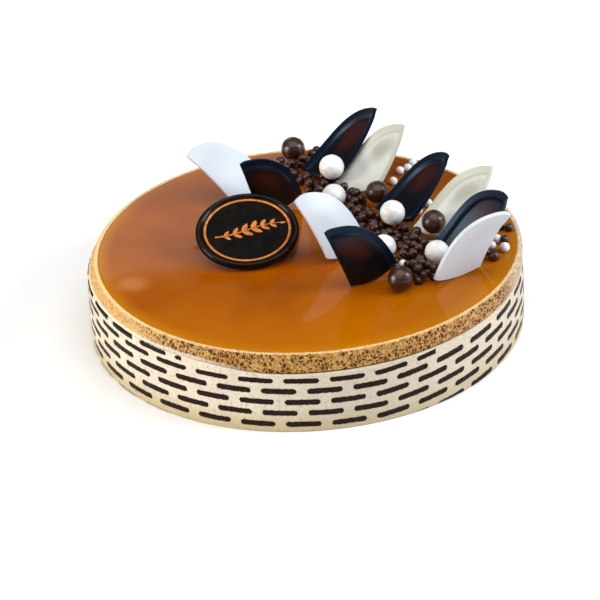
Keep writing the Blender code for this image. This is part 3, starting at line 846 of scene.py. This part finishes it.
def cast_petal(number, petal):
    """Draws a grid into the mould, raises its rim, thickens it and softens its edges."""
    kind, _, _, _, _, lean, _, *form = petal
    shares = [i / EDGE_SAMPLES for i in range(EDGE_SAMPLES + 1)]
    long_edge = [petal_point(share, 0.0, *form).xy for share in shares]
    other_edges = [petal_point(end, share, *form).xy for end in (0.0, 1.0) for share in shares]
    shows_rim = 1.0 if lean > 0 else 0.0
    rim_start, rim_end = (RIM_START, RIM_END) if shows_rim else (0.0, SOFT_RIM_END)
    start()
    bpy.ops.mesh.primitive_grid_add(x_subdivisions=STEPS_ALONG, y_subdivisions=STEPS_IN, size=2.0)
    obj = bpy.context.active_object
    spots = []
    for vertex in obj.data.vertices:
        share = 0.5 * (vertex.co.x + 1.0)
        along = share - SPREAD_TO_ENDS * math.sin(2.0 * math.pi * share)
        across = (0.5 * (vertex.co.y + 1.0)) ** CROWD_TO_EDGE
        point = petal_point(along, across, *form)
        inward = min((point.xy - near).length for near in long_edge)
        sideways = min((point.xy - near).length for near in other_edges)
        rim = eased((rim_end - inward) / (rim_end - rim_start))
        low_rim = shows_rim * eased((LOW_RIM_END - sideways) / (LOW_RIM_END - LOW_RIM_START))
        point.z += max(RIM_RISE * (1.0 - 0.5 * along) * rim, LOW_RIM_RISE * low_rim)
        vertex.co = point * MM
        spots.append(((along, across), (shows_rim * max(rim, low_rim), 0.0)))
    mould_map = obj.data.uv_layers[0]
    mould_map.name = "mould"
    rim_map = obj.data.uv_layers.new(name="rim")
    for loop in obj.data.loops:
        mould_map.data[loop.index].uv, rim_map.data[loop.index].uv = spots[loop.vertex_index]
    shape_with(obj, "SOLIDIFY", thickness=PETAL_THICKNESS * MM, offset=0.0)
    limit = math.radians(SHARP)
    shape_with(obj, "BEVEL", width=EDGE_SOFTNESS * MM, segments=3, limit_method="ANGLE", angle_limit=limit)
    obj.data.transform(petal_stand(petal))
    material = dark_petal if kind == "dark" else shaded_white_chocolate if shows_rim else lit_white_chocolate
    name = f"petal_{number:02d}"
    finish_piece(obj, f"{name}_cast", material, [name], smooth_to=SHARP)


for number, petal in enumerate(PETALS, 1):
    cast_petal(number, petal)

# %% [markdown]
# ## Balls
#
# The balls are puffed cereal rolled in chocolate in a turning pan, so they are round but not perfect: each
# has a few flats and dimples. A subdivided icosphere has even faces all over, unlike a globe with poles, and
# a slow noise pushes its points in by a tenth of a millimetre or so.

# %% Ball finishes
POLISH = {"Coat Weight": 0.55, "Coat Roughness": 0.24, "Coat Tint": (0.9, 0.85, 1.0, 1.0)}

panned_dark = Finish("dark_ball", {"Specular IOR Level": 0.3, **POLISH})
mottle = panned_dark.clouds(4.0, detail=3.0)
dark_ball = panned_dark.lay(
    colour=panned_dark.coats(paint(42, 14, 1), (mottle, (64, 27, 6))),
    roughness=0.35 + mottle * 0.15,
    normal=panned_dark.relief(panned_dark.clouds(2.5), 0.12),
)
panned_white = Finish("white_ball", {"Specular IOR Level": 0.4, "Coat Weight": 0.2, "Coat Roughness": 0.3})
swirl = panned_white.clouds(5.0, detail=4.0)
white_ball = panned_white.lay(
    colour=panned_white.coats(paint(238, 238, 236), (panned_white.ease(swirl, 0.35, 0.7), (216, 215, 208))),
    roughness=0.35 + swirl * 0.2,
    normal=panned_white.relief(swirl + panned_white.clouds(1.3) * 0.5, 0.35),
)

# %% Roll the balls
DARK_BALLS = (  # x, y, height over the glaze, radius
    (-2.5, 94.5, 6.8, 6.4),
    (39.5, 36.5, 8.5, 6.0),
    (66.0, -3.5, 11.0, 6.1),
    (46.5, -52.0, 6.8, 6.4),
    (-28.3, 6.5, 6.8, 6.4),
)
WHITE_BALLS = (
    (17.0, 56.0, 14.5, 6.5),
    (17.0, 38.5, 6.7, 6.3),
    (46.0, 9.5, 10.5, 6.4),
    (66.0, -27.5, 6.6, 6.2),
    (40.0, -18.5, 6.6, 6.2),
)
DIMPLE = 0.12
DIMPLE_CLOSENESS = 0.35


def roll_ball(x, y, height, radius, detail=5):
    """A ball with slow dimples. Nearly all of them go in, so that it stays inside the CAD model's ball."""
    start()
    centre = Vector((x, y, CAKE_TOP + height))
    bpy.ops.mesh.primitive_ico_sphere_add(subdivisions=detail, radius=radius * MM, location=centre * MM)
    obj = bpy.context.active_object
    for vertex in obj.data.vertices:
        spot = vertex.co / MM
        dimple = noise.noise(spot * DIMPLE_CLOSENESS + centre) - 0.5
        vertex.co += vertex.co.normalized() * MM * DIMPLE * dimple
    return obj


def finish_balls(obj, name, kind, node):
    """Settles one ball, or all the pearls of a kind."""
    material = dark_ball if kind == "dark" else white_ball
    finish_piece(obj, name, material, [node], smooth_to=ALL_ROUND)


for kind, balls in (("dark", DARK_BALLS), ("white", WHITE_BALLS)):
    for number, (x, y, height, radius) in enumerate(balls, 1):
        ball = roll_ball(x, y, height, radius)
        finish_balls(ball, f"ball_{kind}_{number}", kind, f"{kind}_ball_{number}")

# %% [markdown]
# ## The plaque
#
# The oval plaque is cast too: a thick rounded rim round a flat field. It is raised from a circle like the
# cake, then drawn narrower and leaned back on the glaze. Only its rim is polished, so the rim gets a map of
# its own. The thin gold line inside it and the sprig on the field are piped, so they stand a little proud.

# %% Plaque form
PLAQUE_WIDTH = 52.3
PLAQUE_HEIGHT = 46.4
PLAQUE_THICKNESS = 4.0
RIM_WIDTH = 3.2
RIM_TURN = 150.0
RIM_FADE = 0.6
RIM_FOOT = ((0.4, 0.02), (1.2, 0.0))  # in from the rim, and up from the field
FIELD_RING = 4.0
PLAQUE_SINK = 1.1
EDGE_ROUNDING = 1.0
PLAQUE_SIDES = 128
PLAQUE_PLACE = (-27.8, -3.6, CAKE_TOP + 11.9)
PLAQUE_TURN, PLAQUE_LEAN = 2.6, 24.3

half = 0.5 * PLAQUE_THICKNESS
plaque_radius = 0.5 * PLAQUE_WIDTH
field = half - PLAQUE_SINK
rim_middle = plaque_radius - 0.5 * RIM_WIDTH
rim_inner = plaque_radius - RIM_WIDTH
back_radius = plaque_radius - EDGE_ROUNDING
plaque_stand = (
    Matrix.Translation(Vector(PLAQUE_PLACE) * MM)
    @ Matrix.Rotation(math.radians(PLAQUE_TURN), 4, "Z")
    @ Matrix.Rotation(math.radians(PLAQUE_LEAN), 4, "X")
    @ Matrix.Diagonal((1.0, PLAQUE_HEIGHT / PLAQUE_WIDTH, 1.0, 1.0))
)
plaque_profile = [(back_radius, -half)]
plaque_profile += corner(back_radius, EDGE_ROUNDING - half, EDGE_ROUNDING, -90.0, 0.0, 4)[1:]
plaque_profile += corner(rim_middle, half - 0.5 * RIM_WIDTH, 0.5 * RIM_WIDTH, 0.0, RIM_TURN, 14)
plaque_profile += [(rim_inner - inward, field + up) for inward, up in RIM_FOOT]
plaque_profile += [(rim_inner - FIELD_RING * ring, field) for ring in range(1, 6)]
plaque = raised(plaque_profile, PLAQUE_SIDES)
rim_map = plaque.data.uv_layers.new(name="rim")
for loop in plaque.data.loops:
    reach = plaque.data.vertices[loop.vertex_index].co.xy.length / MM
    rim_map.data[loop.index].uv = (eased(reach - plaque_radius + RIM_WIDTH + RIM_FADE), 0.0)
plaque.data.transform(plaque_stand)

# %% Plaque finish
RIM_SHINE = 0.22

constants = {"Specular IOR Level": 0.06, "Coat Roughness": 0.08, "Coat Tint": (0.85, 0.85, 1.0, 1.0)}
cast = Finish("plaque_chocolate", constants)
bloom = cast.clouds(6.0, detail=4.0)
grain = cast.clouds(0.9, detail=3.0)
plaque_finish = cast.lay(
    coat=cast.axis("X", cast.mapped("rim")) * RIM_SHINE,
    colour=cast.coats(paint(5, 4, 2), (cast.ease(bloom, 0.35, 0.75), (20, 14, 8))),
    roughness=0.3 + grain * 0.2,
    normal=cast.relief(grain, 0.06),
)
finish_piece(plaque, "plaque_cast", plaque_finish, ["plaque"])

# %% The piped line
LINE_INSET = 4.7
LINE_WIDTH = 1.3
LINE_RISE = 0.35

gilt = Finish("piped_gold", {"Specular IOR Level": 0.4})
stroke = gilt.clouds(1.4, detail=3.0)
gold = gilt.lay(
    colour=gilt.coats(paint(176, 92, 30), (gilt.ease(stroke, 0.3, 0.7), (222, 134, 40))),
    roughness=0.35 + stroke * 0.2,
)

start()
bpy.ops.mesh.primitive_torus_add(
    major_radius=(plaque_radius - LINE_INSET) * MM,
    minor_radius=0.5 * LINE_WIDTH * MM,
    major_segments=PLAQUE_SIDES,
    minor_segments=10,
)
line = bpy.context.active_object
on_field = plaque_stand @ Matrix.Translation((0.0, 0.0, field * MM))
line.data.transform(on_field @ Matrix.Diagonal((1.0, 1.0, 2.0 * LINE_RISE / LINE_WIDTH, 1.0)))
finish_piece(line, "plaque_line", gold, [], smooth_to=ALL_ROUND)

# %% [markdown]
# The sprig is a bowed stem with leaves in pairs and one at its end. A long box makes the stem, cut across,
# bent and tapered. One leaf is made from a small ball, drawn to a point and pressed flat. Its copies are
# turned to the stem's slope, larger in the middle than at the ends.

# %% The sprig
STEM_LENGTH = 33.0
STEM_WIDTH = 1.1
STEM_CUTS = 23
STEM_BOW, STEM_BEND, STEM_SLOPE = 2.6, 0.11, 0.06
STEM_TAPER = (0.75, -0.5)  # its share of the width at the middle, and the change from foot to tip
LEAF_PAIRS = 6
LEAF_LENGTH = 6.2
LEAF_WIDTH = 2.7
LEAF_POINT = 1.4
LEAF_TURN = 48.0
LARGEST_LEAF, LEAF_SHRINK = 1.05, 0.45


def stem_height(x):
    """How far up the plaque the stem runs at a place along it."""
    return STEM_BOW * math.sin(STEM_BEND * x) + STEM_SLOPE * x


start()
bpy.ops.mesh.primitive_cube_add(size=1.0)
stem = bpy.context.active_object
bpy.ops.object.mode_set(mode="EDIT")
bpy.ops.mesh.subdivide(number_cuts=STEM_CUTS)
bpy.ops.object.mode_set(mode="OBJECT")
for vertex in stem.data.vertices:
    x = vertex.co.x * STEM_LENGTH
    taper = STEM_TAPER[0] + STEM_TAPER[1] * vertex.co.x
    dome = 1.0 - 2.0 * vertex.co.y**2
    y = stem_height(x) + vertex.co.y * STEM_WIDTH * taper
    vertex.co = Vector((x, y, 2.0 * LINE_RISE * vertex.co.z * dome)) * MM

start()
bpy.ops.mesh.primitive_ico_sphere_add(subdivisions=3, radius=0.5)
leaf = bpy.context.active_object
for vertex in leaf.data.vertices:
    point = vertex.co
    width = LEAF_WIDTH * (1.0 - LEAF_POINT * max(0.0, point.x) ** 2)
    vertex.co = Vector(((point.x + 0.5) * LEAF_LENGTH, point.y * width, 2.0 * LINE_RISE * point.z)) * MM
leaves = []
for pair in range(LEAF_PAIRS + 1):
    x = STEM_LENGTH * ((pair + 1) / (LEAF_PAIRS + 1) - 0.5)
    slope = math.atan(stem_height(x + 0.5) - stem_height(x - 0.5))
    size = LARGEST_LEAF - LEAF_SHRINK * abs(pair - 0.5 * (LEAF_PAIRS - 1)) / (0.5 * LEAF_PAIRS)
    for side in (-1.0, 1.0) if pair < LEAF_PAIRS else (0.0,):
        copy = leaf.copy()
        copy.data = leaf.data.copy()
        bpy.context.collection.objects.link(copy)
        copy.data.transform(
            Matrix.Translation((x * MM, stem_height(x) * MM, 0.0))
            @ Matrix.Rotation(slope + math.radians(LEAF_TURN) * side, 4, "Z")
            @ Matrix.Scale(size, 4)
        )
        leaves.append(copy)
bpy.data.objects.remove(leaf)
sprig = joined([stem] + leaves)
sprig.data.transform(on_field)
finish_piece(sprig, "plaque_sprig", gold, [], smooth_to=ALL_ROUND)

# %% [markdown]
# ## Pearls
#
# Pearls are crunchy grains of four or five millimetres, poured out last. A few have rolled away and lie
# alone on the glaze. The others lie in a loose heap between the petals, each on the glaze or in the hollow
# between others. A pearl of the heap is dropped at a random place near the heap's path, and stops at the
# first height at which it touches nothing, which is how the CAD model lays them too. There are two rounds:
# the second may pile them higher than the first.

# %% Drop the pearls
PEARL_SINK = 0.6
WHITE_PEARLS = (  # x, y, radius
    (-9.5, 88.0, 2.2),
    (48.8, 60.5, 2.3),
    (53.0, 72.0, 2.3),
    (57.3, 74.6, 2.3),
    (60.1, 80.3, 2.3),
    (59.8, 26.5, 2.4),
    (65.5, 33.6, 2.3),
    (57.6, 4.6, 2.2),
    (58.4, -6.4, 2.2),
    (48.8, -28.6, 2.3),
    (97.3, -8.7, 2.4),
    (94.0, -15.1, 2.4),
    (100.3, -18.4, 2.7),
)
DARK_PEARLS = (
    (104.4, 2.4, 2.4),
    (100.2, 4.6, 2.2),
    (97.2, 9.4, 2.2),
    (101.0, -10.6, 2.4),
    (94.2, -27.0, 2.9),
    (91.2, -21.0, 2.0),
    (66.0, -3.5, 2.4),
    (62.5, -7.5, 2.3),
    (64.5, 1.0, 2.3),
    (7.4, 97.4, 2.4),
    (10.0, 101.5, 2.3),
)
HEAP_PATH = ((-5, 86), (6, 70), (19, 50), (31, 32), (40, 14), (49, -2), (52, -18), (54, -34), (57, -46))
HEAP_HALF_WIDTH = 10.0
HEAP_TRIES = 1500
HEAP_COUNT = 135
HEAP_RADII = (2.1, 2.7)
HEAP_TOPS = (2.5, 7.5)  # how high over the glaze a pearl's centre may come to rest, in each round
HEAP_SEED = 7
BALL_CLEARANCE = 0.5
PETAL_CLEARANCE = 0.8
PLAQUE_CLEARANCE = 0.6
SAMPLES_ALONG, SAMPLES_IN = 18, 12

petal_samples = []
for petal in PETALS:
    for i in range(SAMPLES_ALONG + 1):
        for j in range(SAMPLES_IN + 1):
            point = petal_point(i / SAMPLES_ALONG, j / SAMPLES_IN, *petal[7:])
            petal_samples.append(petal_stand(petal) @ (point * MM) / MM)
all_balls = DARK_BALLS + WHITE_BALLS
ball_spots = [(Vector((x, y, CAKE_TOP + height)), radius) for x, y, height, radius in all_balls]
to_plaque = (plaque_stand @ Matrix.Diagonal((1.0, PLAQUE_WIDTH / PLAQUE_HEIGHT, 1.0, 1.0))).inverted()


def along_path(share):
    """The point at a share of the heap's path, and the direction across the path there."""
    place = share * (len(HEAP_PATH) - 1)
    index = min(int(place), len(HEAP_PATH) - 2)
    first, last = Vector(HEAP_PATH[index]), Vector(HEAP_PATH[index + 1])
    return first.lerp(last, place - index), Vector((last.y - first.y, first.x - last.x)).normalized()


def rest_height(x, y, radius, placed):
    """The height at which a pearl dropped at (x, y) comes to rest."""
    height = CAKE_TOP + radius - PEARL_SINK
    for other_x, other_y, other_z, other_radius, _ in placed:
        reach = radius + other_radius - PEARL_SINK
        level = (x - other_x) ** 2 + (y - other_y) ** 2
        if level < reach * reach:
            height = max(height, other_z + math.sqrt(reach * reach - level))
    return height


def is_clear(centre, radius):
    """Whether a pearl keeps off the petals, the balls and the plaque."""
    keep_off = radius + 0.5 * PETAL_THICKNESS + PETAL_CLEARANCE
    if any((centre - sample).length < keep_off for sample in petal_samples):
        return False
    if any((centre - ball).length < size + radius + BALL_CLEARANCE for ball, size in ball_spots):
        return False
    local = to_plaque @ (centre * MM) / MM
    margin = radius + PLAQUE_CLEARANCE
    oval = math.hypot(local.x / (0.5 * PLAQUE_WIDTH + margin), local.y / (0.5 * PLAQUE_HEIGHT + margin))
    return oval > 1.0 or abs(local.z) > half + margin


placed = []
for kind, pearls in (("white", WHITE_PEARLS), ("dark", DARK_PEARLS)):
    for x, y, radius in pearls:
        z = rest_height(x, y, radius, placed)
        if is_clear(Vector((x, y, z)), radius):
            placed.append((x, y, z, radius, kind))
loose = len(placed)
draw = random.Random(HEAP_SEED)
for top in HEAP_TOPS:
    for _ in range(HEAP_TRIES):
        middle, sideways = along_path(draw.random())
        spot = middle + sideways * HEAP_HALF_WIDTH * draw.uniform(-1.0, 1.0)
        radius = draw.uniform(*HEAP_RADII)
        z = rest_height(spot.x, spot.y, radius, placed)
        if len(placed) - loose == HEAP_COUNT:
            break
        if z < CAKE_TOP + top and is_clear(Vector((spot.x, spot.y, z)), radius):
            placed.append((spot.x, spot.y, z, radius, "dark"))
    print("heap so far", len(placed) - loose)
print(len(placed), "pearls")

# %% Roll the pearls
PEARL_DETAIL = 3

for kind in ("white", "dark"):
    pearls = [(x, y, z - CAKE_TOP, radius) for x, y, z, radius, sort in placed if sort == kind]
    grains = [roll_ball(*pearl, PEARL_DETAIL) for pearl in pearls]
    finish_balls(joined(grains), f"pearls_{kind}", kind, "glaze")
